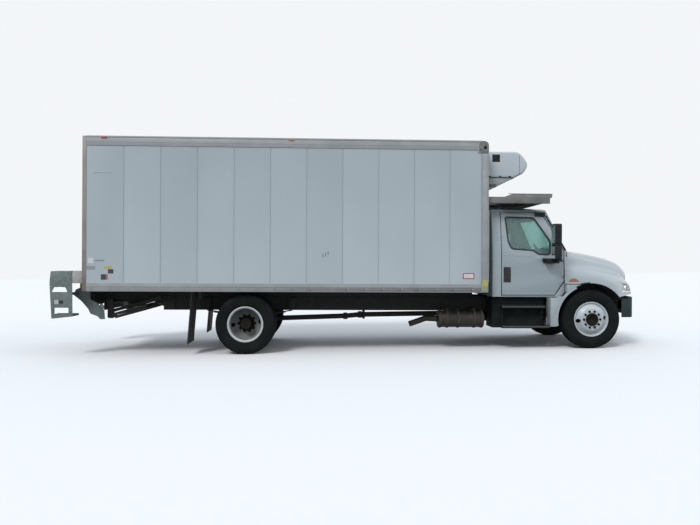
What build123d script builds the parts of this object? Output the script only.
from build123d import *
import math
import os

os.makedirs("parts", exist_ok=True)

# Refrigerated truck: cab-chassis, insulated 22 ft box, front cooling unit and tuck-under tail lift.
# Millimetres. +X forward, +Y left, +Z up. Sizes below are in the chassis frame, whose origin is on
# the ground under the rear axle; the sprung body stands nose-down by RAKE about that point.

# Running gear
WHEELBASE = 5994
RAKE = 0.8824
TYRE_R = 510
TYRE_W = 280
BEAD_R = 290
RIM_W = 234
RIM_WALL = 14
DISC_T = 12
DISC_OFFSET = 148
DISC_FACE_R = 187
HUB_PILOT_R = 95
WHEEL_FLATS = 40
HAND_HOLE_R = 36
HAND_HOLE_AT = 238
DRUM_R = 205
FRONT_TYRE_Y = 1020
DUAL_Y = 920
SPINDLE_R = 45
SPINDLE_CLEAR = 1
KINGPIN_Y = 880
KINGPIN_R = 20
AXLE_EYE_R = 42

# Frame
RAIL_BOTTOM = 700
RAIL_H = 257
RAIL_Y = 432
RAIL_FLANGE = 76
RAIL_T = 8
RAIL_REAR = -1560
RAIL_FRONT = 6900
SPRING_W = 76
SPRING_GAP_Y = 6
LEAF_T = 15

# Insulated box
BOX_REAR = -2705
BOX_FRONT = 4130
BOX_BOTTOM = 1070
BOX_TOP = 3660
BOX_HALF_W = 1295
SKIN_T = 5
WALL_T = 75
FLOOR_TOP = 1405
FLOOR_BEAM_H = 115
ROOF_T = 75
PANEL_PITCH = 609.6
BOTTOM_RAIL_H = 140
TOP_RAIL_H = 150
REAR_POST_D = 72
REAR_POST_W = 115
HEADER_H = 100
CORNER_PLATE = (190, 210)
DOOR_PANELS = 8
DOOR_T = 40
SILL_D = 45

# Cab
CAB_REAR = 4270
CAB_BOTTOM = 985
CAB_HALF_W = 1040
CAB_ROOF_HALF_W = 935
CAB_BELT = 1790
CAB_ROOF_EDGE = 2513
CAB_ROOF_TOP = 2598
CAB_WALL = 55
COWL_X = 5597
WINDSHIELD_BULGE = 150
PILLAR_LEAN = 0.52
FIREWALL_X = 5575
DOOR_REAR = 4437
DOOR_FRONT = 5535
DOOR_BOTTOM = 1005
DOOR_TOP = 2475
DOOR_GAP = 8
DOOR_REAR_GAP = 16
DOOR_HINGE_X = 5520
DOOR_HINGE_Y = 1028
DOOR_HINGE_Z = (1320, 1600)
DOOR_HINGE_H = 30
DOOR_PIN_R = 5
GLASS_T = 6
GLASS_INSET = 18

# Hood, bumper and arches
HOOD_REAR = 5552
HOOD_T = 15
ARCH_R = 630
HOOD_HINGE_X = 6940
HOOD_HINGE_Z = 1030
HOOD_HINGE_Y = 380
BUMPER_FRONT = 7010
BUMPER_BOTTOM = 648
BUMPER_TOP = 998
BUMPER_T = 25

# Tail lift
LIFT_PIVOT = (-1600, 920)
LIFT_SHACKLE = (-2430, 690)
LIFT_HINGE = (-2440, 600)
LIFT_ARM_Y = 560
LIFT_ARM_T = 30
LIFT_ARM_H = 56
PLATFORM_HALF_W = 830
PLATFORM_LENGTH = 700
PLATFORM_T = 45
PLATFORM_SLOPE = 16
PIN_R = 15
PIN_CLEAR = 0.5
STEP_REAR = -3273
STEP_FRONT = -2900
STEP_BOTTOM = 601
STEP_Y = 1196

SEAT = 0.3

nodes = {}


def block(x0, x1, y0, y1, z0, z1):
    return Pos((x0 + x1) / 2, (y0 + y1) / 2, (z0 + z1) / 2) * Box(x1 - x0, y1 - y0, z1 - z0)


def side_plate(points, y0, y1, radius=0):
    """Outline of (x, z) points, extruded across the truck."""
    corners = [(x, y0, z) for x, z in points]
    wire = FilletPolyline(*corners, radius=radius, close=True) if radius else Polyline(*corners, close=True)
    return extrude(make_face(wire), amount=y1 - y0, dir=(0, 1, 0))


def cross_plate(points, x0, x1):
    """Outline of (y, z) points, extruded along the truck."""
    return extrude(make_face(Polyline(*[(x0, y, z) for y, z in points], close=True)),
                   amount=x1 - x0, dir=(1, 0, 0))


def flat_plate(points, z0, z1):
    """Outline of (x, y) points, extruded upward."""
    return extrude(make_face(Polyline(*[(x, y, z0) for x, y in points], close=True)),
                   amount=z1 - z0, dir=(0, 0, 1))


def rod(start, end, radius):
    start = Vector(start)
    end = Vector(end)
    plane = Plane(origin=start, z_dir=end - start)
    return plane * Cylinder(radius, (end - start).length, align=(Align.CENTER, Align.CENTER, Align.MIN))


def bar(start, end, radius, sides=12):
    """Rod of flats, for round stock that nothing turns on."""
    start = Vector(start)
    end = Vector(end)
    plane = Plane(origin=start, z_dir=end - start)
    return plane * extrude(RegularPolygon(radius, sides), amount=(end - start).length)


def panelled(sections, closed=False):
    """Solid of flat panels between like outlines: a quad is one panel where it is flat, else two triangles."""
    panels = []
    count = len(sections)
    for i in range(count if closed else count - 1):
        here, after = sections[i], sections[(i + 1) % count]
        for k in range(len(here)):
            corners = [here[k], here[(k + 1) % len(here)], after[(k + 1) % len(here)], after[k]]
            corners = [Vector(c) for n, c in enumerate(corners) if (Vector(c) - Vector(corners[n - 1])).length > 1e-6]
            if len(corners) < 3:
                continue
            if len(corners) == 4:
                lift = (corners[1] - corners[0]).cross(corners[2] - corners[0]).normalized()
                if abs((corners[3] - corners[0]).dot(lift)) > 1e-4:
                    panels.append(Face(Wire.make_polygon([corners[0], corners[2], corners[3]])))
                    corners = corners[:3]
            panels.append(Face(Wire.make_polygon(corners)))
    if not closed:
        panels += [Face(Wire.make_polygon([Vector(c) for c in end])) for end in (sections[0], sections[-1])]
    return Solid(Shell(panels)).fix()


def turned(profile, side=1, flats=WHEEL_FLATS):
    """Ring about the Y axis from (radius, offset) points, in flats; side -1 turns the offsets round."""
    sections = []
    for i in range(flats):
        a = 2 * math.pi * i / flats
        sections.append([(r * math.cos(a), t * side, r * math.sin(a)) for r, t in profile])
    return panelled(sections, closed=True)


def mirrored(shape):
    return mirror(shape, about=Plane.XZ)


def both(shape):
    return [shape, mirrored(shape)]


def symmetric(half):
    """Closed outline from the (y, z) points of its left half, listed from the top down."""
    return half + [(-y, z) for y, z in reversed(half) if y > 0]


def sprung(shape):
    return Rot(0, RAKE, 0) * shape


def add(name, *solids, raked=True):
    nodes[name] = [sprung(s) if raked else s for s in solids]


def chassis_point(x, z):
    """Chassis-frame (x, z) of a point given above the ground."""
    a = math.radians(RAKE)
    return x * math.cos(a) - z * math.sin(a), z * math.cos(a) + x * math.sin(a)


FRONT_X, FRONT_Z = chassis_point(WHEELBASE, TYRE_R)
REAR_X, REAR_Z = chassis_point(0, TYRE_R)
RAIL_TOP = RAIL_BOTTOM + RAIL_H

# Wheels: disc rim, tyre, hub and drum. Offsets are outboard from the rim's centre line.
HALF_RIM = RIM_W / 2
RIM_R = BEAD_R - RIM_WALL
TYRE = [(BEAD_R, -HALF_RIM + 9), (400, -TYRE_W / 2), (TYRE_R, -TYRE_W / 2 + 34), (TYRE_R, TYRE_W / 2 - 34),
        (400, TYRE_W / 2), (BEAD_R, HALF_RIM - 9)]
DISC_OUT = DISC_OFFSET + DISC_T
RIM = [(HUB_PILOT_R + 10, DISC_OFFSET), (DISC_FACE_R - 3, DISC_OFFSET), (RIM_R, 73), (RIM_R, -HALF_RIM),
       (BEAD_R, -HALF_RIM), (BEAD_R, HALF_RIM), (RIM_R, HALF_RIM), (RIM_R, 85), (DISC_FACE_R, DISC_OUT),
       (HUB_PILOT_R + 10, DISC_OUT)]
BORE_R = SPINDLE_R + SPINDLE_CLEAR
FRONT_HUB = [(0, -10), (DRUM_R, -10), (DRUM_R, 120), (150, DISC_OFFSET + 2), (HUB_PILOT_R, DISC_OFFSET + 2),
             (HUB_PILOT_R, 200), (0, 200)]
FRONT_BORE = (-20, 140)
DUAL_OFFSET = DISC_OUT
REAR_HUB = [(0, -190), (DRUM_R, -190), (DRUM_R, -32), (150, -DISC_T + 2), (HUB_PILOT_R + 12, -DISC_T + 2),
            (HUB_PILOT_R + 12, DISC_T + 30), (HUB_PILOT_R - 5, DISC_T + 45), (HUB_PILOT_R - 5, 205), (0, 205)]
REAR_BORE = (-200, 150)


def disc_wheel(side):
    """Rim with its disc bulged to +Y (side 1) or -Y (side -1), with its two hand holes."""
    wheel = turned(RIM, side)
    for a in (0.1, math.pi + 0.1):
        x, z = HAND_HOLE_AT * math.cos(a), HAND_HOLE_AT * math.sin(a)
        wheel = wheel - bar((x, side * 60, z), (x, side * DISC_OUT, z), HAND_HOLE_R)
    return wheel


def hub(profile, side, bore):
    low, high = bore
    return turned(profile, side) - rod((0, side * low, 0), (0, side * high, 0), BORE_R)


for side, hand in ((1, "left"), (-1, "right")):
    at_front = Pos(WHEELBASE, side * FRONT_TYRE_Y, TYRE_R)
    add(f"front_tyre_{hand}", at_front * turned(TYRE), raked=False)
    add(f"front_wheel_{hand}", at_front * (disc_wheel(side) + hub(FRONT_HUB, side, FRONT_BORE)), raked=False)
    outer = Pos(0, side * (DUAL_Y + DUAL_OFFSET), TYRE_R)
    inner = Pos(0, side * (DUAL_Y - DUAL_OFFSET), TYRE_R)
    add(f"rear_tyres_{hand}", outer * turned(TYRE), inner * turned(TYRE), raked=False)
    rear_hub = Pos(0, side * DUAL_Y, TYRE_R) * hub(REAR_HUB, side, REAR_BORE)
    add(f"rear_wheels_{hand}", outer * disc_wheel(-side) + inner * disc_wheel(side) + rear_hub, raked=False)

# Front axle: dropped I-beam with kingpin eyes, and the knuckles that turn on them
BEAM_HALF = [(0, 440), (640, 440), (790, 545), (KINGPIN_Y - 20, 545), (KINGPIN_Y - 20, 455), (800, 455),
             (650, 360), (0, 360)]
EYE_H = 90
KNUCKLE_GAP = 5
beam = cross_plate(symmetric(BEAM_HALF), WHEELBASE - 38, WHEELBASE + 38)
for side in (1, -1):
    eye = (WHEELBASE, side * KINGPIN_Y)
    beam = beam + bar((*eye, TYRE_R - 10 - EYE_H / 2), (*eye, TYRE_R - 10 + EYE_H / 2), AXLE_EYE_R)
for side in (1, -1):
    eye = (WHEELBASE, side * KINGPIN_Y)
    beam = beam - rod((*eye, 400), (*eye, 600), KINGPIN_R + PIN_CLEAR)
add("front_axle", beam, raked=False)

YOKE_T = 32
for side, hand in ((1, "left"), (-1, "right")):
    eye_low = TYRE_R - 10 - EYE_H / 2 - KNUCKLE_GAP
    eye_high = TYRE_R - 10 + EYE_H / 2 + KNUCKLE_GAP
    y_in = KINGPIN_Y - 34
    y_plate = KINGPIN_Y + AXLE_EYE_R + 8
    spans = ((y_in, y_plate + 26, eye_low - YOKE_T, eye_low), (y_in, y_plate + 26, eye_high, eye_high + YOKE_T),
             (y_plate, y_plate + 26, eye_low, eye_high))
    knuckle = bar((WHEELBASE, KINGPIN_Y, eye_low - YOKE_T), (WHEELBASE, KINGPIN_Y, eye_high + YOKE_T), KINGPIN_R)
    for y0, y1, z0, z1 in spans:
        knuckle = knuckle + block(WHEELBASE - 50, WHEELBASE + 50, y0, y1, z0, z1)
    knuckle = knuckle + bar((WHEELBASE, y_plate, TYRE_R), (WHEELBASE, FRONT_TYRE_Y + 130, TYRE_R), SPINDLE_R, 24)
    knuckle = knuckle + bar((WHEELBASE, y_plate + 26, TYRE_R), (WHEELBASE, FRONT_TYRE_Y - 15, TYRE_R), 70)
    add(f"knuckle_{hand}", knuckle if side == 1 else mirrored(knuckle), raked=False)

# Rear axle: banjo housing, tubes, spindles and spring seats
SPRING_Y = RAIL_Y + SPRING_GAP_Y + SPRING_W / 2
REAR_SEAT = 75
axle = bar((0, -720, TYRE_R), (0, 720, TYRE_R), 62, 16)
axle = axle + bar((0, -DUAL_Y - 145, TYRE_R), (0, DUAL_Y + 145, TYRE_R), SPINDLE_R, 24)
axle = axle + bar((-130, 0, TYRE_R), (110, 0, TYRE_R), 190, 24) + bar((110, 0, TYRE_R), (420, 0, TYRE_R), 85, 16)
for side in (1, -1):
    axle = axle + block(-65, 65, side * SPRING_Y - 38, side * SPRING_Y + 38, TYRE_R - 40, TYRE_R + REAR_SEAT)
add("rear_axle", axle, raked=False)


def leaf_spring(x, seat, camber, half_lengths):
    """Pack of leaves bent upward to both ends; its lowest leaf rests on the axle's seat."""
    top_half = half_lengths[-1]
    radius = (top_half ** 2 + camber ** 2) / (2 * camber)
    pack = None
    for i, half in enumerate(half_lengths):
        low = seat + i * LEAF_T
        rise = radius - math.sqrt(radius ** 2 - half ** 2)
        bottom = ThreePointArc((x - half, 0, low + rise), (x, 0, low), (x + half, 0, low + rise))
        top = ThreePointArc((x + half, 0, low + rise + LEAF_T), (x, 0, low + LEAF_T),
                            (x - half, 0, low + rise + LEAF_T))
        outline = [bottom, Line(bottom @ 1, top @ 0), top, Line(top @ 1, bottom @ 0)]
        leaf = Pos(0, SPRING_Y - SPRING_W / 2, 0) * extrude(make_face(outline), amount=SPRING_W, dir=(0, 1, 0))
        pack = leaf if pack is None else pack + leaf
    return pack


# Springs: lower leaf half lengths first
REAR_LEAVES = (330, 500, 640, 760)
FRONT_LEAVES = (400, 620, 700)
SPRING_CAMBER = 60
FRONT_SEAT_Z = FRONT_Z - (TYRE_R - 440) + 1.2
REAR_SEAT_Z = REAR_Z + REAR_SEAT + 1.2
add("leaf_springs", *both(leaf_spring(REAR_X, REAR_SEAT_Z, SPRING_CAMBER, REAR_LEAVES)),
    *both(leaf_spring(FRONT_X, FRONT_SEAT_Z, SPRING_CAMBER, FRONT_LEAVES)))

# Frame: two channel rails with spring hangers, cross members and the body's sills
RAIL = [(RAIL_Y, RAIL_BOTTOM), (RAIL_Y, RAIL_TOP), (RAIL_Y - RAIL_FLANGE, RAIL_TOP),
        (RAIL_Y - RAIL_FLANGE, RAIL_TOP - RAIL_T), (RAIL_Y - RAIL_T, RAIL_TOP - RAIL_T),
        (RAIL_Y - RAIL_T, RAIL_BOTTOM + RAIL_T), (RAIL_Y - RAIL_FLANGE, RAIL_BOTTOM + RAIL_T),
        (RAIL_Y - RAIL_FLANGE, RAIL_BOTTOM)]
rail = cross_plate(RAIL, RAIL_REAR, RAIL_FRONT)
for x, seat, leaves in ((REAR_X, REAR_SEAT_Z, REAR_LEAVES), (FRONT_X, FRONT_SEAT_Z, FRONT_LEAVES)):
    leaf_top = seat + len(leaves) * LEAF_T + SPRING_CAMBER + SEAT
    for end in (-1, 1):
        tip = x + end * leaves[-1]
        hanger = side_plate([(tip - 45, leaf_top), (tip + 45, leaf_top), (tip + 80, RAIL_TOP - 40),
                             (tip - 80, RAIL_TOP - 40)], RAIL_Y, SPRING_Y + SPRING_W / 2)
        rail = rail + hanger
# Hood hinge brackets stand on the rails' front ends
HINGE_FOOT = (6780, 6890)
HINGE_PLATE_Y = (HOOD_HINGE_Y + 13, HOOD_HINGE_Y + 23)
HINGE_PIN_R = 12
hinge_plate = side_plate([(HINGE_FOOT[0], RAIL_TOP - 2), (HINGE_FOOT[1], RAIL_TOP - 2),
                          (HOOD_HINGE_X + 20, HOOD_HINGE_Z - 20), (HOOD_HINGE_X + 20, HOOD_HINGE_Z + 20),
                          (HOOD_HINGE_X - 20, HOOD_HINGE_Z + 20)], *HINGE_PLATE_Y)
rail = rail + hinge_plate + bar((HOOD_HINGE_X, HOOD_HINGE_Y - 12, HOOD_HINGE_Z),
                                (HOOD_HINGE_X, HOOD_HINGE_Y + 20, HOOD_HINGE_Z), HINGE_PIN_R)
add("frame_rails", *both(rail))

CROSS_X = (RAIL_REAR + 60, -850, 700, 2050, 3300, 4500, 6720)
CROSS_H = 170
members = []
for x in CROSS_X:
    web = RAIL_Y - RAIL_T
    z0 = RAIL_BOTTOM + 40
    member = block(x - 4, x + 4, -web, web, z0, z0 + CROSS_H)
    member = member + block(x - 4, x + 60, -web, web, z0 + CROSS_H - RAIL_T, z0 + CROSS_H)
    member = member + block(x - 4, x + 60, -web, web, z0, z0 + RAIL_T)
    members.append(member)
SHAFT = [(4740, 640), (2010, 588), (1735, 562), (REAR_X + 424, REAR_Z + 6)]
SHAFT_R = 47
bearing_z = SHAFT[1][1]
bearing = block(2058, 2098, -75, 75, bearing_z - 75, RAIL_BOTTOM + 40)
members[3] = members[3] + (bearing - bar((2000, 0, bearing_z), (2200, 0, bearing_z + 4), SHAFT_R + 5))
add("frame_crossmembers", *members)

# Driveline: shaft in three lengths from the gearbox, engine as one block
GEARBOX = (4750, 690, 175)
shaft = None
for (xa, za), (xb, zb) in zip(SHAFT, SHAFT[1:]):
    piece = bar((xa, 0, za), (xb, 0, zb), SHAFT_R)
    shaft = piece if shaft is None else shaft + piece
JOINT_HALF = 58
for x, z in SHAFT[1:3]:
    shaft = shaft + block(x - 38, x + 38, -JOINT_HALF, JOINT_HALF, z - JOINT_HALF, z + JOINT_HALF)
shaft = shaft + block(GEARBOX[0] - 20, GEARBOX[0], -JOINT_HALF, JOINT_HALF, SHAFT[0][1] - JOINT_HALF,
                      SHAFT[0][1] + JOINT_HALF)
add("driveshaft", shaft)
ENGINE_X = (5600, 6350)
engine = block(*ENGINE_X, -300, 300, 640, 1400)
engine = engine + bar((GEARBOX[0], 0, GEARBOX[1]), (ENGINE_X[0], 0, GEARBOX[1]), GEARBOX[2], 16)
for x in (5750, 6200):
    engine = engine + block(x - 40, x + 40, -RAIL_Y + RAIL_T, RAIL_Y - RAIL_T, 760, 810)
add("engine", engine)

# Exhaust: canister on two brackets, with inlet and tail pipes
CAN = (3340, 4140)
CAN_Y = -850
CAN_Z = 580
CAN_R = 145
exhaust = bar((CAN[0], CAN_Y, CAN_Z), (CAN[1], CAN_Y, CAN_Z), CAN_R, 24)
for x in (3500, 3980):
    exhaust = exhaust + block(x - 25, x + 25, CAN_Y - 20, -RAIL_Y, CAN_Z + CAN_R - 4, CAN_Z + CAN_R + 40)
    exhaust = exhaust + bar((x - 18, CAN_Y, CAN_Z), (x + 18, CAN_Y, CAN_Z), CAN_R + 5, 24)
TAIL_PIPE = [(CAN[0] + 5, CAN_Y + 40, CAN_Z), (3150, CAN_Y + 150, CAN_Z), (2860, CAN_Y + 215, 470)]
INLET_PIPE = [(CAN[1] - 5, CAN_Y + 50, CAN_Z), (4212, CAN_Y + 130, CAN_Z), (4212, -400, 598), (4420, -265, 635),
              (5597.5, -250, 690)]
PIPE_R = 52


def pipe(points, radius):
    """Straight lengths that run a little past each bend, so that they meet."""
    whole = None
    for start, end in zip(points, points[1:]):
        along = (Vector(*end) - Vector(*start)).normalized() * (radius * 0.35)
        run = bar(Vector(*start), Vector(*end) + (along if end != points[-1] else Vector(0, 0, 0)), radius)
        whole = run if whole is None else whole + run
    return whole


exhaust = exhaust + pipe(TAIL_PIPE, PIPE_R) + pipe(INLET_PIPE, PIPE_R - 7)
add("exhaust", exhaust)

# Battery box with cab steps on the right, fuel tank with steps on the left
TREADS = ((818, 1100, 4419, 5187), (474, 1150, 4415, 5258))
TREAD_T = 30


def steps(y_back):
    parts = None
    for z, y, x0, x1 in TREADS:
        tread = block(x0, x1, y_back, y, z - TREAD_T, z + 15)
        parts = tread if parts is None else parts + tread
    for x in (4440, 5130):
        parts = parts + block(x, x + 12, y_back, 1060, TREADS[1][0], TREADS[0][0])
    return parts


box_body = block(4290, 5200, RAIL_Y + 90, 950, 438, 960) + steps(950)
for x in (4400, 5050):
    box_body = box_body + block(x, x + 60, RAIL_Y, RAIL_Y + 90, 760, 900)
add("battery_box", mirrored(box_body))
TANK = (3700, 5200)
tank = fillet(block(*TANK, RAIL_Y + 60, 960, 430, 940).edges().filter_by(Axis.X), 110)
tank = tank + steps(940)
for x in (3950, 4400, 4950):
    tank = tank + block(x, x + 60, RAIL_Y, RAIL_Y + 80, 640, 900)
add("fuel_tank", tank)

# Insulated box: walls, roof, floor with cross beams, front wall
INNER_Y = BOX_HALF_W - SKIN_T - WALL_T
WALL_OUT = BOX_HALF_W - SKIN_T
FRAME_IN = BOX_REAR + REAR_POST_D
FRONT_IN = BOX_FRONT - SKIN_T - WALL_T
ROOF_LOW = BOX_TOP - SKIN_T - ROOF_T
RAIL_LEG = 10
GROOVE_W = 8
GROOVE_D = 2.5
wall = block(FRAME_IN, FRONT_IN, INNER_Y, WALL_OUT, BOX_BOTTOM + RAIL_LEG, ROOF_LOW)
panels = int((FRONT_IN - FRAME_IN) / PANEL_PITCH)
for i in range(1, panels + 1):
    x = FRAME_IN + i * PANEL_PITCH
    wall = wall - block(x - GROOVE_W / 2, x + GROOVE_W / 2, WALL_OUT - GROOVE_D, WALL_OUT + 1,
                        BOX_BOTTOM + BOTTOM_RAIL_H, BOX_TOP - TOP_RAIL_H)
add("box_wall_left", wall)
add("box_wall_right", mirrored(wall))

FLOOR_REAR = FRAME_IN + SILL_D
floor = block(FLOOR_REAR, FRONT_IN, -INNER_Y, INNER_Y, BOX_BOTTOM + FLOOR_BEAM_H, FLOOR_TOP)
BEAM_PITCH = PANEL_PITCH / 2
BEAM_W = 50
beam_count = int((FRONT_IN - FLOOR_REAR) / BEAM_PITCH)
for i in range(beam_count + 1):
    x = FLOOR_REAR + BEAM_W / 2 + i * BEAM_PITCH
    if x + BEAM_W / 2 <= FRONT_IN:
        floor = floor + block(x - BEAM_W / 2, x + BEAM_W / 2, -INNER_Y, INNER_Y, BOX_BOTTOM,
                              BOX_BOTTOM + FLOOR_BEAM_H)
add("box_floor", floor)
sill = block(FRAME_IN, BOX_FRONT - WALL_T, RAIL_Y - RAIL_FLANGE, RAIL_Y, RAIL_TOP, BOX_BOTTOM)
add("body_sills", *both(sill))

front_wall = block(FRONT_IN, BOX_FRONT - SKIN_T, -WALL_OUT, WALL_OUT, BOX_BOTTOM, ROOF_LOW)
add("box_front_wall", front_wall)
roof = block(FRAME_IN, FRONT_IN, -WALL_OUT, WALL_OUT, ROOF_LOW, BOX_TOP - SKIN_T)
corner = rod((FRONT_IN, -WALL_OUT, ROOF_LOW), (FRONT_IN, WALL_OUT, ROOF_LOW), WALL_T)
header = corner & block(FRONT_IN, BOX_FRONT, -WALL_OUT, WALL_OUT, ROOF_LOW, BOX_TOP)
add("box_roof", roof + header)

# Rails and posts that cover the walls' edges; corner caps round the front top corners
POST_W = 123
cap_back = BOX_FRONT - CORNER_PLATE[0]
cap_low = BOX_TOP - CORNER_PLATE[1]
bottom_rail = block(FRAME_IN, BOX_FRONT - POST_W, WALL_OUT, BOX_HALF_W, BOX_BOTTOM, BOX_BOTTOM + BOTTOM_RAIL_H)
bottom_rail = bottom_rail + block(FRAME_IN, FRONT_IN, INNER_Y, WALL_OUT + 1, BOX_BOTTOM, BOX_BOTTOM + RAIL_LEG)
top_rail = block(FRAME_IN, cap_back, WALL_OUT, BOX_HALF_W, BOX_TOP - TOP_RAIL_H, BOX_TOP)
top_rail = top_rail + block(FRAME_IN, cap_back, WALL_OUT - 60, BOX_HALF_W, BOX_TOP - SKIN_T, BOX_TOP)
post = block(BOX_FRONT - POST_W, BOX_FRONT, WALL_OUT, BOX_HALF_W, BOX_BOTTOM, cap_low)
post = post + block(BOX_FRONT - SKIN_T, BOX_FRONT, WALL_OUT - POST_W, BOX_HALF_W, BOX_BOTTOM, cap_low)
cap = block(cap_back, BOX_FRONT, WALL_OUT, BOX_HALF_W + 3, cap_low, BOX_TOP)
cap_corner = cap.edges().filter_by(Axis.Y).sort_by(lambda e: e.center().X + e.center().Z)[-1]
cap = fillet(cap_corner, WALL_T + SKIN_T)
add("box_rails", *both(bottom_rail), *both(top_rail), *both(post), *both(cap))

# Rear frame round the doorway and the sectional overhead door just inside it
rear_frame = block(BOX_REAR, FRAME_IN, -BOX_HALF_W, BOX_HALF_W, BOX_BOTTOM, BOX_TOP)
doorway_z = (FLOOR_TOP, BOX_TOP - HEADER_H)
doorway_y = BOX_HALF_W - REAR_POST_W
rear_frame = rear_frame - block(BOX_REAR - 1, FRAME_IN + 1, -doorway_y, doorway_y, *doorway_z)
door_sill = block(FRAME_IN, FRAME_IN + SILL_D - SEAT, -INNER_Y + SEAT, INNER_Y - SEAT, BOX_BOTTOM, FLOOR_TOP)
add("rear_frame", rear_frame + door_sill)
DOOR_OVERLAP = 20
door_low = FLOOR_TOP + SEAT
door_high = ROOF_LOW - SEAT
panel_h = (door_high - door_low) / DOOR_PANELS
door_x = FRAME_IN + SEAT
sections = []
for i in range(DOOR_PANELS):
    z0 = door_low + i * panel_h
    sections.append(block(door_x, door_x + DOOR_T, -doorway_y - DOOR_OVERLAP, doorway_y + DOOR_OVERLAP, z0,
                          z0 + panel_h - SEAT))
add("rear_door", *sections)

# Cab: outline solids inset by the wall, with the shell as their difference
ROOF_SECTION = [(CAB_HALF_W, CAB_BOTTOM), (CAB_HALF_W + 5, 1300), (CAB_HALF_W, CAB_BELT),
                (CAB_ROOF_HALF_W, 2440), (CAB_ROOF_HALF_W - 35, CAB_ROOF_EDGE)]


def cab_form(t):
    """Outer form of the cab brought in by t on every side."""
    half = [(y - t, max(z, CAB_BOTTOM + t)) for y, z in ROOF_SECTION]
    half[-1] = (half[-1][0], half[-1][1] - t)
    x0 = CAB_REAR + t
    section_lines = [Polyline(*[(x0, y, z) for y, z in half]),
                     ThreePointArc((x0, *half[-1]), (x0, 0, CAB_ROOF_TOP - t), (x0, -half[-1][0], half[-1][1])),
                     Polyline(*[(x0, -y, z) for y, z in reversed(half)]),
                     Line((x0, -half[0][0], half[0][1]), (x0, *half[0]))]
    section = extrude(make_face(section_lines), amount=2000, dir=(1, 0, 0))
    cowl = COWL_X - t
    side_x = cowl - 57
    w = CAB_HALF_W + 20
    arc = ThreePointArc((cowl, 985 - t, 0), (cowl + WINDSHIELD_BULGE, 0, 0), (cowl, -985 + t, 0))
    plan_lines = [arc, Polyline(arc @ 1, (side_x, -CAB_HALF_W + t, 0), (side_x, -w, 0), (x0, -w, 0), (x0, w, 0),
                                (side_x, w, 0), (side_x, CAB_HALF_W - t, 0), arc @ 0)]
    plan = make_face(plan_lines)
    rise = CAB_ROOF_TOP + 100 - CAB_BELT
    upper = extrude(Pos(0, 0, CAB_BELT) * plan, amount=rise * math.hypot(1, PILLAR_LEAN), dir=(-PILLAR_LEAN, 0, 1))
    upper = upper + block(x0, x0 + 500, -w, w, CAB_BELT, CAB_ROOF_TOP + 100)
    upper = upper & block(x0, x0 + 2000, -w, w, CAB_BELT, CAB_ROOF_TOP + 100)
    middle = extrude(Pos(0, 0, CAB_BELT - 90) * plan, amount=90, dir=(0, 0, 1))
    low_plan = [(x0, -w), (DOOR_FRONT + 6 - t, -w), (DOOR_FRONT + 6 - t, -1000 + t), (FIREWALL_X - t, -960 + t),
                (FIREWALL_X - t, 960 - t), (DOOR_FRONT + 6 - t, 1000 - t), (DOOR_FRONT + 6 - t, w), (x0, w)]
    lower = flat_plate(low_plan, CAB_BOTTOM + t, CAB_BELT - 90)
    return (upper + middle + lower) & section


cab_outer = cab_form(0)
cab_inner = cab_form(CAB_WALL)
cab_ring = cab_outer - cab_inner
door_outline = [(DOOR_REAR, DOOR_BOTTOM), (5367, DOOR_BOTTOM), (DOOR_FRONT, 1270), (DOOR_FRONT, CAB_BELT),
                (5200, 2410), (5130, DOOR_TOP), (DOOR_REAR, DOOR_TOP)]
door_hole = [(DOOR_REAR - DOOR_REAR_GAP, DOOR_BOTTOM - DOOR_GAP), (5371, DOOR_BOTTOM - DOOR_GAP),
             (DOOR_FRONT + DOOR_GAP, 1230), (DOOR_FRONT + DOOR_GAP, CAB_BELT + 2), (5209, 2413),
             (5134, DOOR_TOP + DOOR_GAP), (DOOR_REAR - DOOR_REAR_GAP, DOOR_TOP + DOOR_GAP)]
WINDOW = [(4511, 2388), (5020, 2378), (5301, 1958), (5286, 1728), (5090, 1732), (4983, 1802), (4607, 1826),
          (4552, 1954)]
WINDOW_R = 22
FAR = CAB_HALF_W + 60
NEAR = 600


def window_prism(grow):
    cx = sum(x for x, z in WINDOW) / len(WINDOW)
    cz = sum(z for x, z in WINDOW) / len(WINDOW)
    points = []
    for x, z in WINDOW:
        reach = math.hypot(x - cx, z - cz)
        points.append((x + grow * (x - cx) / reach, z + grow * (z - cz) / reach))
    return side_plate(points, NEAR, FAR, WINDOW_R)


DOOR_CLEAR = 12


def inboard(t):
    """Everything inboard of the cab's side wall brought in by t: pillars, firewall, floor and roof."""
    (low_y, _), (bulge_y, bulge_z), (belt_y, belt_z), (roof_y, roof_z), (edge_y, _) = ROOF_SECTION
    half = [(edge_y - t, CAB_ROOF_TOP + 100), (roof_y - t, roof_z), (belt_y - t, belt_z), (bulge_y - t, bulge_z),
            (low_y - t, CAB_BOTTOM - 20)]
    return cross_plate(symmetric(half), CAB_REAR - 20, 6000)


door = (cab_ring & side_plate(door_outline, NEAR, FAR)) - inboard(CAB_WALL)
glass_skin = cab_form(GLASS_INSET) - cab_form(GLASS_INSET + GLASS_T)
door = door - window_prism(0)
for z in DOOR_HINGE_Z:
    door = door - block(DOOR_HINGE_X - 18, DOOR_FRONT + 1, NEAR, FAR, z - 6, z + DOOR_HINGE_H + 6)
    door = door - rod((DOOR_HINGE_X, DOOR_HINGE_Y, z - 26), (DOOR_HINGE_X, DOOR_HINGE_Y, z + DOOR_HINGE_H + 26),
                      DOOR_PIN_R + PIN_CLEAR)
HANDLE = (4463, 4593, 1234, 1506)
door = door - block(HANDLE[0], HANDLE[1], CAB_HALF_W - 22, FAR, HANDLE[2], HANDLE[3])
door = door + block(HANDLE[0] + 15, HANDLE[1] - 15, CAB_HALF_W - 24, CAB_HALF_W - 6, 1360, 1470)
add("door_left", door)
add("door_right", mirrored(door))
door_glass = glass_skin & window_prism(-SEAT)
add("door_glass_left", door_glass)
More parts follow.
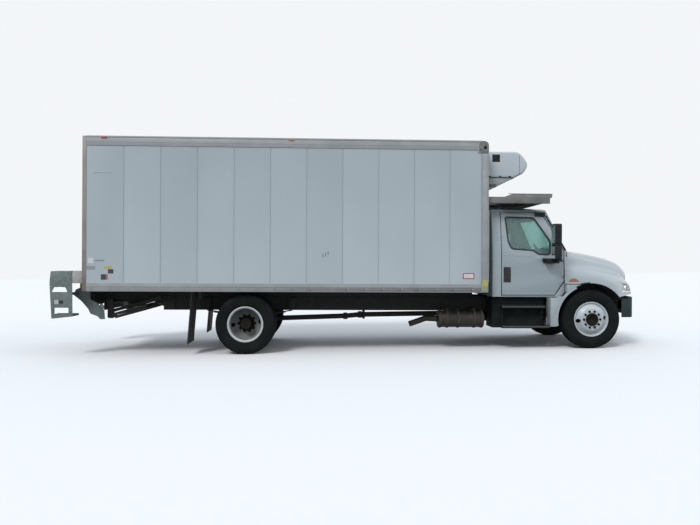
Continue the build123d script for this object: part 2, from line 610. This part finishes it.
add("door_glass_right", mirrored(door_glass))

# Windshield and rear window openings; the windshield's is cut square to the glass's lean
WS_LOW = CAB_BELT + 60
WS_HIGH = 2410
WS_HALF = (905, 815)


def windshield_prism(grow):
    outline = [(-WS_HALF[0] - grow, WS_LOW - grow), (WS_HALF[0] + grow, WS_LOW - grow),
               (WS_HALF[1] + grow, WS_HIGH + grow), (-WS_HALF[1] - grow, WS_HIGH + grow)]
    return cross_plate(outline, 5000, 6000)


REAR_WINDOW = (750, 1900, 2330)


def rear_window_prism(grow):
    half, low, high = REAR_WINDOW
    return block(CAB_REAR - 50, CAB_REAR + 200, -half - grow, half + grow, low - grow, high + grow)


doorway = side_plate(door_hole, NEAR, FAR) - inboard(CAB_WALL + DOOR_CLEAR)
cab_shell = cab_ring - both(doorway)
cab_shell = cab_shell - windshield_prism(0) - rear_window_prism(0)
for z in DOOR_HINGE_Z:
    strap = block(DOOR_HINGE_X - 9, DOOR_HINGE_X + 9, 955, DOOR_HINGE_Y + 9, z, z + DOOR_HINGE_H)
    strap = strap + bar((DOOR_HINGE_X, DOOR_HINGE_Y, z - 24), (DOOR_HINGE_X, DOOR_HINGE_Y, z + DOOR_HINGE_H + 24),
                        DOOR_PIN_R)
    cab_shell = cab_shell + both(strap)
# The firewall's lower corners stand clear of the steered tyres
cab_shell = cab_shell - both(block(FIREWALL_X - 50, FIREWALL_X + 20, 600, CAB_HALF_W, CAB_BOTTOM - 10, CAB_BOTTOM + 30))
for x in (4400, 5400):
    for y in (RAIL_Y - 38, -RAIL_Y + 38):
        cab_shell = cab_shell + block(x - 40, x + 40, y - 38, y + 38, RAIL_TOP, CAB_BOTTOM + 5)
add("cab_shell", cab_shell)
add("cab_glass", glass_skin & windshield_prism(-SEAT), glass_skin & rear_window_prism(-SEAT))

# Cab inside: dashboard with the steering wheel on its column, and the seats
dash_front = FIREWALL_X - CAB_WALL
dash_outline = [(5230, 1400), (5400, 1330), (dash_front, 1330), (dash_front, 1700), (5330, 1690), (5230, 1620)]
dash = side_plate(dash_outline, -890, 890)
WHEEL_AT = (5090, 450, 1690)
column_end = (5300, 450, 1500)
steering = Plane(origin=Vector(*WHEEL_AT), z_dir=Vector(*WHEEL_AT) - Vector(*column_end))
rim_section = [(212, -12), (236, -12), (236, 12), (212, 12)]
wheel_ring = Rot(90, 0, 0) * turned(rim_section, flats=24)
spokes = Box(430, 34, 12) + extrude(RegularPolygon(60, 12), amount=12, both=True)
dash = dash + steering * (wheel_ring + spokes) + bar(column_end, WHEEL_AT, 28)
add("dashboard", dash)
SEATS = ((450, 270), (-390, 360))
seat_list = []
for y, half in SEATS:
    profile = [(4480, 1250), (5010, 1250), (5020, 1400), (4650, 1380), (4490, 1960), (4370, 1960), (4420, 1300)]
    seat = side_plate(profile, y - half, y + half)
    seat = seat + block(4520, 4960, y - half + 60, y + half - 60, CAB_BOTTOM + CAB_WALL, 1250)
    seat_list.append(seat)
add("cab_seats", *seat_list)

# Mirrors: two heads on a tube bracket from a foot on the door
BULGE_Y, BULGE_Z = ROOF_SECTION[1]
for side, hand in ((1, "left"), (-1, "right")):
    foot_y = BULGE_Y - (BULGE_Y - CAB_HALF_W) * (1600 - BULGE_Z) / (CAB_BELT - BULGE_Z)
    mirror_set = block(5150, 5362, foot_y, foot_y + 38, 1600, 1662)
    mirror_set = mirror_set + bar((5330, foot_y + 20, 1632), (5330, 1345, 1622), 20)
    mirror_set = mirror_set + bar((5372, 1340, 1610), (5372, 1340, 2200), 13)
    mirror_set = mirror_set + block(5320, 5385, 1325, 1355, 1605, 1640)
    head = fillet(block(5242, 5352, 1235, 1430, 1900, 2250).edges().filter_by(Axis.X), 35)
    small = fillet(block(5242, 5352, 1235, 1430, 1640, 1880).edges().filter_by(Axis.X), 35)
    mirror_set = mirror_set + head + small
    for z in (1760, 1980, 2170):
        mirror_set = mirror_set + bar((5340, 1340, z), (5372, 1340, z), 14)
    add(f"mirror_{hand}", mirror_set if side == 1 else mirrored(mirror_set))

# Hood: loft of half sections listed from the centre outward, one row for each place along the truck.
# Columns: x, then (y, z) of top centre, top edge, shoulder, waist, fender top and lower edge.
HOOD = (
    (HOOD_REAR, (0, 1850), (780, 1822), (985, 1770), (1030, 1520), (1040, 1330), (1040, 970)),
    (6058, (0, 1795), (700, 1738), (868, 1640), (925, 1490), (1130, 1340), (1170, 970)),
    (6400, (0, 1730), (640, 1668), (800, 1570), (860, 1430), (1110, 1290), (1170, 970)),
    (6614, (0, 1672), (560, 1612), (735, 1510), (790, 1370), (1020, 1230), (1120, 970)),
    (6742, (0, 1625), (470, 1565), (670, 1455), (725, 1310), (860, 1170), (1045, 970)),
    (6880, (0, 1560), (380, 1500), (500, 1400), (530, 1270), (590, 1150), (735, 970)),
    (6950, (0, 1500), (330, 1450), (420, 1370), (440, 1250), (470, 1150), (560, 970)),
)


def hood_form(t, rear_pull, front_pull):
    """Hood brought in by t, with its end sections moved rearward."""
    sections = []
    for i, (x, *half) in enumerate(HOOD):
        shift = -rear_pull if i == 0 else (-front_pull if i == len(HOOD) - 1 else 0)
        points = []
        for k, (y, z) in enumerate(half):
            drop = t / 2 if k == 4 else t
            points.append((max(y - t, 0) if y else 0, z - drop))
        sections.append([(x + shift, y, z) for y, z in symmetric(points)])
    return panelled(sections)


hood = hood_form(0, 0, 0) - hood_form(HOOD_T, 40, HOOD_T)
hood = hood - rod((FRONT_X, -1400, FRONT_Z), (FRONT_X, 1400, FRONT_Z), ARCH_R)
HOOD_REAR_EDGE = 1217
hood = hood - block(HOOD_REAR - 60, 5900, -1400, 1400, 900, HOOD_REAR_EDGE)
hood = hood - side_plate([(5800, 900), (7100, 900), (7100, 1075), (6750, 1063), (6480, 1000), (5800, 1000)],
                         -1400, 1400)
arc_gap = 8
cowl_arc = ThreePointArc((COWL_X + arc_gap, 1000, 1600), (COWL_X + WINDSHIELD_BULGE + arc_gap, 0, 1600),
                         (COWL_X + arc_gap, -1000, 1600))
cowl_back = Polyline(cowl_arc @ 1, (5400, -1000, 1600), (5400, 1000, 1600), cowl_arc @ 0)
cowl_cut = extrude(make_face([cowl_arc, cowl_back]), amount=400, dir=(0, 0, 1))
hood = hood - cowl_cut

GRILLE_Y = 345
GRILLE_Z = (1110, 1420)
grille_hole = block(6880, 7000, -GRILLE_Y, GRILLE_Y, *GRILLE_Z)
hood = hood - grille_hole
LAMP_BOX = block(6560, 6900, 700, 1150, 1075, 1235)
lamps = hood & LAMP_BOX
hood = hood - both(LAMP_BOX)
for y in (HOOD_HINGE_Y, -HOOD_HINGE_Y):
    ear = bar((HOOD_HINGE_X, y - 12, HOOD_HINGE_Z), (HOOD_HINGE_X, y + 12, HOOD_HINGE_Z), 24)
    ear = ear + block(HOOD_HINGE_X - 24, HOOD_HINGE_X, y - 12, y + 12, HOOD_HINGE_Z, GRILLE_Z[0])
    ear = ear - rod((HOOD_HINGE_X, y - 20, HOOD_HINGE_Z), (HOOD_HINGE_X, y + 20, HOOD_HINGE_Z),
                    HINGE_PIN_R + PIN_CLEAR)
    hood = hood + ear
add("hood", hood)
add("headlights", *both(lamps))

grille = None
GRILLE_BARS = 6
for i in range(GRILLE_BARS):
    z = GRILLE_Z[0] + 20 + i * (GRILLE_Z[1] - GRILLE_Z[0] - 40) / (GRILLE_BARS - 1)
    slat = block(6905, 6940, -GRILLE_Y + SEAT, GRILLE_Y - SEAT, z - 11, z + 11)
    grille = slat if grille is None else grille + slat
for y in (-GRILLE_Y + SEAT, -8, GRILLE_Y - SEAT - 16):
    grille = grille + block(6900, 6930, y, y + 16, GRILLE_Z[0] + SEAT, GRILLE_Z[1] - SEAT)
add("grille", grille)

# Fender extension behind each front wheel, from the cab down to the step
ARCH_Y = (940, 1165)
arch = rod((FRONT_X, 800, FRONT_Z), (FRONT_X, 1400, FRONT_Z), ARCH_R)
APRON_REAR = TREADS[1][3] + SEAT
low_part = side_plate([(APRON_REAR, 477), (5430, 477), (5620, 900), (5620, 998), (5383, 998), (5383, 975),
                       (APRON_REAR, 975)], *ARCH_Y)
low_part = low_part - arch - block(5200, DOOR_FRONT + 10, 900, CAB_HALF_W + 8, CAB_BOTTOM - DOOR_GAP, 1010)
high_part = block(FIREWALL_X, 5880, 900, ARCH_Y[1], 990, 1205)
high_part = high_part + block(DOOR_FRONT + 14, 5880, 1004, ARCH_Y[1], 990, 1205)
high_part = high_part - arch
add("fender_extensions", *both(low_part), *both(high_part))

# Front bumper: bent channel on the rail ends
BUMPER_PLAN = ((6588, 1085), (6750, 1085), (6880, 960), (6975, 600), (BUMPER_FRONT, 300))


def bumper_outline(t):
    half = [(x - (0 if i == 0 else t), y - (t if i < 3 else t / 3)) for i, (x, y) in enumerate(BUMPER_PLAN)]
    return half + [(x, -y) for x, y in reversed(half)]


bumper = flat_plate(bumper_outline(0), BUMPER_BOTTOM, BUMPER_TOP)
bumper = bumper - flat_plate(bumper_outline(BUMPER_T), BUMPER_BOTTOM - 1, BUMPER_TOP + 1)
for side in (1, -1):
    y0, y1 = sorted((side * (RAIL_Y - RAIL_FLANGE), side * RAIL_Y))
    bumper = bumper + block(RAIL_FRONT, BUMPER_FRONT - 20, y0, y1, 740, 900)
add("front_bumper", bumper)

# Cooling unit on the front wall: rounded housing with a front louvre recess
UNIT_Y = 1000
UNIT_BACK = BOX_FRONT - SKIN_T + SEAT
UNIT_TOP = BOX_TOP - 123
UNIT_OUTLINE = ((4679, 0), (4752, 22), (4825, 92), (4887, 180), (4894, 252), (4862, 324), (4810, 387), (4556, 516),
                (4203, 690))
UNIT = [(UNIT_BACK, UNIT_TOP)] + [(x, UNIT_TOP - drop) for x, drop in UNIT_OUTLINE] + [(UNIT_BACK, UNIT_TOP - 717)]
UNIT_SPLIT = UNIT_TOP - 469
unit = side_plate(UNIT, -UNIT_Y, UNIT_Y)
plan = [(UNIT_BACK, -UNIT_Y), (4600, -UNIT_Y), (4820, -UNIT_Y + 120), (4900, -UNIT_Y + 320), (4900, UNIT_Y - 320),
        (4820, UNIT_Y - 120), (4600, UNIT_Y), (UNIT_BACK, UNIT_Y)]
unit = unit & flat_plate(plan, UNIT_TOP - 740, UNIT_TOP + 10)
LOUVRES = 7
LOUVRE_LOW = UNIT_TOP - 347
unit = unit - block(4835, 4950, -560, 560, LOUVRE_LOW, LOUVRE_LOW + 250)
unit_lower = unit & block(4000, 5000, -1200, 1200, UNIT_SPLIT - 400, UNIT_SPLIT)
unit_upper = unit & block(4000, 5000, -1200, 1200, UNIT_SPLIT, UNIT_TOP + 10)
for i in range(LOUVRES):
    z = LOUVRE_LOW + 25 + i * 33
    unit_upper = unit_upper + block(4825, 4862, -560, 560, z - 5, z + 5)
add("cooling_unit", unit_upper)
add("cooling_unit_base", unit_lower)

# Service platform over the cab: side channels, cross channels and a raised deck
PLAT_Y = 1190
PLAT_X = (BOX_FRONT, 5230)
PLAT_Z = (2610, 2720)
channel = [(PLAT_Y, PLAT_Z[0]), (PLAT_Y, PLAT_Z[1]), (PLAT_Y - 50, PLAT_Z[1]), (PLAT_Y - 50, PLAT_Z[1] - 8),
           (PLAT_Y - 8, PLAT_Z[1] - 8), (PLAT_Y - 8, PLAT_Z[0] + 8), (PLAT_Y - 50, PLAT_Z[0] + 8),
           (PLAT_Y - 50, PLAT_Z[0])]
beam_left = cross_plate(channel, *PLAT_X)
platform = beam_left + mirrored(beam_left)
for x in (4130, 4420, 4700, 4960, 5190):
    platform = platform + block(x, x + 40, -PLAT_Y + 4, PLAT_Y - 4, 2640, PLAT_Z[1] - 4)
deck = side_plate([(4468, 2712), (5265, 2712), (5272, 2777), (4585, 2777)], -PLAT_Y, PLAT_Y)
deck = deck - side_plate([(4500, 2700), (5257, 2700), (5257, 2769), (4590, 2769)], -PLAT_Y + 8, PLAT_Y - 8)
platform = platform + deck
add("cab_platform", platform)

# Conduit down the front wall beside the right corner post
conduit_y = -1190
conduit = bar((BOX_FRONT + 22, conduit_y, 1190), (BOX_FRONT + 22, conduit_y, 2600), 18)
for z in (1300, 1800, 2350):
    conduit = conduit + block(BOX_FRONT, BOX_FRONT + 30, conduit_y - 26, conduit_y + 26, z, z + 25)
add("conduit", conduit)

# Bed extension and hanger plates behind the box
BED_LOW = 1197
bed = block(-2890, BOX_REAR, -1200, 1200, BED_LOW, FLOOR_TOP) - block(-2882, BOX_REAR + 1, -1192, 1192, BED_LOW - 1,
                                                                     FLOOR_TOP - 8)
HANGER_Y = (840, 860)
hanger_outline = [(-2890, 1300), (-2720, 1300), (-2720, 915), (-2596, 844), (-2480, 715), (-2468, 565), (-2543, 564),
                  (-2588, 614), (-2709, 660), (-2755, 751), (-2869, 881), (-3004, 989), (-2960, 1080), (-2890, 1110)]
for side in (1, -1):
    y0, y1 = sorted((side * HANGER_Y[0], side * HANGER_Y[1]))
    bed = bed + side_plate(hanger_outline, y0, y1)
add("bed_extension", bed)

# Galvanised step frames at the rear corners
STEP_OUT = [(STEP_REAR, 1202), (-3254, 1397), (STEP_FRONT, FLOOR_TOP), (-2890, 639), (-3237, STEP_BOTTOM)]


def step_frame():
    plate = side_plate(STEP_OUT, STEP_Y - 6, STEP_Y)
    moon = rod((-3103, STEP_Y - 20, 1052), (-3103, STEP_Y + 20, 1052), 117)
    moon = moon & block(-3300, -2900, STEP_Y - 20, STEP_Y + 20, 1052, 1130)
    plate = plate - moon - block(-3190, -2950, STEP_Y - 20, STEP_Y + 20, 662, 787)
    inner_plate = side_plate(STEP_OUT, 905, 911)
    frame = plate + inner_plate
    for z in (STEP_BOTTOM + 38, 1000, 1365):
        frame = frame + block(-3235, -2895, 905, STEP_Y, z, z + 30)
    return frame + block(-2895, -2890, 905, STEP_Y, 1205, 1400)


add("step_frames", *both(step_frame()))

# Tail lift: brackets and pivot shaft, arms, shackles, platform and its flip-over half
px, pz = LIFT_PIVOT
bracket_plate = side_plate([(-1680, 860), (-1640, 950), (-1350, 950), (-1350, 720), (-1500, 720)], RAIL_Y, RAIL_Y + 16)
lift_frame = bracket_plate + mirrored(bracket_plate) + bar((px, -LIFT_ARM_Y - LIFT_ARM_T - 8, pz),
                                                           (px, LIFT_ARM_Y + LIFT_ARM_T + 8, pz), 27, 16)
add("lift_mounting", lift_frame)

sx, sz = LIFT_SHACKLE
hx, hz = LIFT_HINGE
arm_angle = math.atan2(pz - sz, px - sx)
ox = -math.sin(arm_angle) * LIFT_ARM_H / 2
oz = math.cos(arm_angle) * LIFT_ARM_H / 2
arm_outline = [(sx + ox, sz + oz), (sx - ox, sz - oz), (px - ox, pz - oz), (px + ox, pz + oz)]
arms = bar((-2000, -LIFT_ARM_Y, 809), (-2000, LIFT_ARM_Y, 809), 28)
for side in (1, -1):
    y0, y1 = sorted((side * LIFT_ARM_Y, side * (LIFT_ARM_Y + LIFT_ARM_T)))
    arm = side_plate(arm_outline, y0, y1) + bar((px, y0, pz), (px, y1, pz), 46) + bar((sx, y0, sz), (sx, y1, sz), 30)
    arm = arm - rod((px, y0 - 5, pz), (px, y1 + 5, pz), 27 + PIN_CLEAR)
    arm = arm - rod((sx, y0 - 5, sz), (sx, y1 + 5, sz), PIN_R + PIN_CLEAR)
    arms = arms + arm
add("lift_arms", arms)

SHACKLE_Y = (600, 620)
LUG_Y = (630, 660)
shackle = bar((-2462, -SHACKLE_Y[1], 830), (-2462, SHACKLE_Y[1], 830), 26)
for side in (1, -1):
    y0, y1 = sorted((side * SHACKLE_Y[0], side * SHACKLE_Y[1]))
    plate = side_plate([(-2500, 575), (-2470, 562), (-2400, 562), (-2365, 590), (-2385, 700), (-2400, 894),
                        (-2500, 894)], y0, y1)
    pin_in, pin_out = sorted((side * LIFT_ARM_Y, side * SHACKLE_Y[1]))
    plate = plate + bar((sx, pin_in, sz), (sx, pin_out, sz), PIN_R)
    pin_in, pin_out = sorted((side * SHACKLE_Y[0], side * LUG_Y[1]))
    plate = plate + bar((hx, pin_in, hz), (hx, pin_out, hz), PIN_R)
    shackle = shackle + plate
add("lift_shackle", shackle)

# Platform in its own frame: s along the folded pack from the hinge, n square to it
slope_cos = math.cos(math.radians(PLATFORM_SLOPE))
slope_sin = math.sin(math.radians(PLATFORM_SLOPE))
PACK = Plane(origin=(hx, 0, hz), x_dir=(slope_cos, 0, slope_sin), z_dir=(-slope_sin, 0, slope_cos))
PACK_START = 112
PACK_TOP = 35
PACK_GAP = 6
main = block(PACK_START, PLATFORM_LENGTH, -PLATFORM_HALF_W, PLATFORM_HALF_W, PACK_TOP - PLATFORM_T, PACK_TOP)
FLIP_AT = (PLATFORM_LENGTH + 12, PACK_TOP - PLATFORM_T - PACK_GAP / 2)
for side in (1, -1):
    y0, y1 = sorted((side * LUG_Y[0], side * LUG_Y[1]))
    lug = block(0, PACK_START + 5, y0, y1, -28, 28) + bar((0, y0, 0), (0, y1, 0), 28)
    lug = lug - rod((0, y0 - 5, 0), (0, y1 + 5, 0), PIN_R + PIN_CLEAR)
    main = main + lug
    ya, yb = sorted((side * 500, side * 560))
    ear = block(PLATFORM_LENGTH - 20, FLIP_AT[0], ya, yb, FLIP_AT[1], FLIP_AT[1] + 14)
    ear = ear + bar((FLIP_AT[0], ya, FLIP_AT[1]), (FLIP_AT[0], yb, FLIP_AT[1]), 9)
    ear = ear + bar((FLIP_AT[0], ya - 40, FLIP_AT[1]), (FLIP_AT[0], yb + 40, FLIP_AT[1]), 5)
    main = main + ear
add("lift_platform", PACK * main)
flip_top = PACK_TOP - PLATFORM_T - PACK_GAP
flip = block(PACK_START + 20, PLATFORM_LENGTH, -PLATFORM_HALF_W, PLATFORM_HALF_W, flip_top - PLATFORM_T, flip_top)
for side in (1, -1):
    ya, yb = sorted((side * 568, side * 600))
    ear = block(PLATFORM_LENGTH - 20, FLIP_AT[0], ya, yb, FLIP_AT[1] - 14, FLIP_AT[1])
    ear = ear + bar((FLIP_AT[0], ya, FLIP_AT[1]), (FLIP_AT[0], yb, FLIP_AT[1]), 9)
    ear = ear - rod((FLIP_AT[0], ya - 5, FLIP_AT[1]), (FLIP_AT[0], yb + 5, FLIP_AT[1]), 5 + PIN_CLEAR)
    flip = flip + ear
add("lift_flip", PACK * flip)

# Mud flaps behind the rear duals, hung from brackets on the frame
FLAP_Y = (650, 1210)
flap = side_plate([(-905, 1050), (-915, 1050), (-985, 170), (-975, 170)], *FLAP_Y)
flap = flap + block(-935, -885, RAIL_Y, FLAP_Y[1], 1040, BOX_BOTTOM)
flap = flap + block(-935, -885, RAIL_Y, RAIL_Y + 8, 900, BOX_BOTTOM)
add("mud_flaps", *both(flap))

# Marker lamps on the top rails and tail lamps in the rear frame
lamp_list = []
for x in (BOX_REAR + 355, (BOX_REAR + BOX_FRONT) / 2 + 50):
    lamp = block(x - 45, x + 45, BOX_HALF_W, BOX_HALF_W + 12, BOX_TOP - 40, BOX_TOP - 12)
    lamp_list += both(lamp)
for z in (1200, 1300):
    lamp = bar((BOX_REAR - 12, BOX_HALF_W - 50, z), (BOX_REAR, BOX_HALF_W - 50, z), 38, 16)
    lamp_list += both(lamp)
for y in (-150, 0, 150):
    lamp_list.append(block(BOX_REAR - 10, BOX_REAR, y - 40, y + 40, BOX_TOP - 60, BOX_TOP - 30))
add("lamps", *lamp_list)

# The finished truck is centred on its own footprint
low_x = min(s.bounding_box().min.X for group in nodes.values() for s in group)
high_x = max(s.bounding_box().max.X for group in nodes.values() for s in group)
ORIGIN_X = (low_x + high_x) / 2
for name, solids in nodes.items():
    placed = [Pos(-ORIGIN_X, 0, 0) * s for s in solids]
    shape = placed[0] if len(placed) == 1 else Compound(children=placed)
    export_step(shape, f"parts/{name}.step")
print(len(nodes), "nodes, origin at", round(ORIGIN_X, 3))
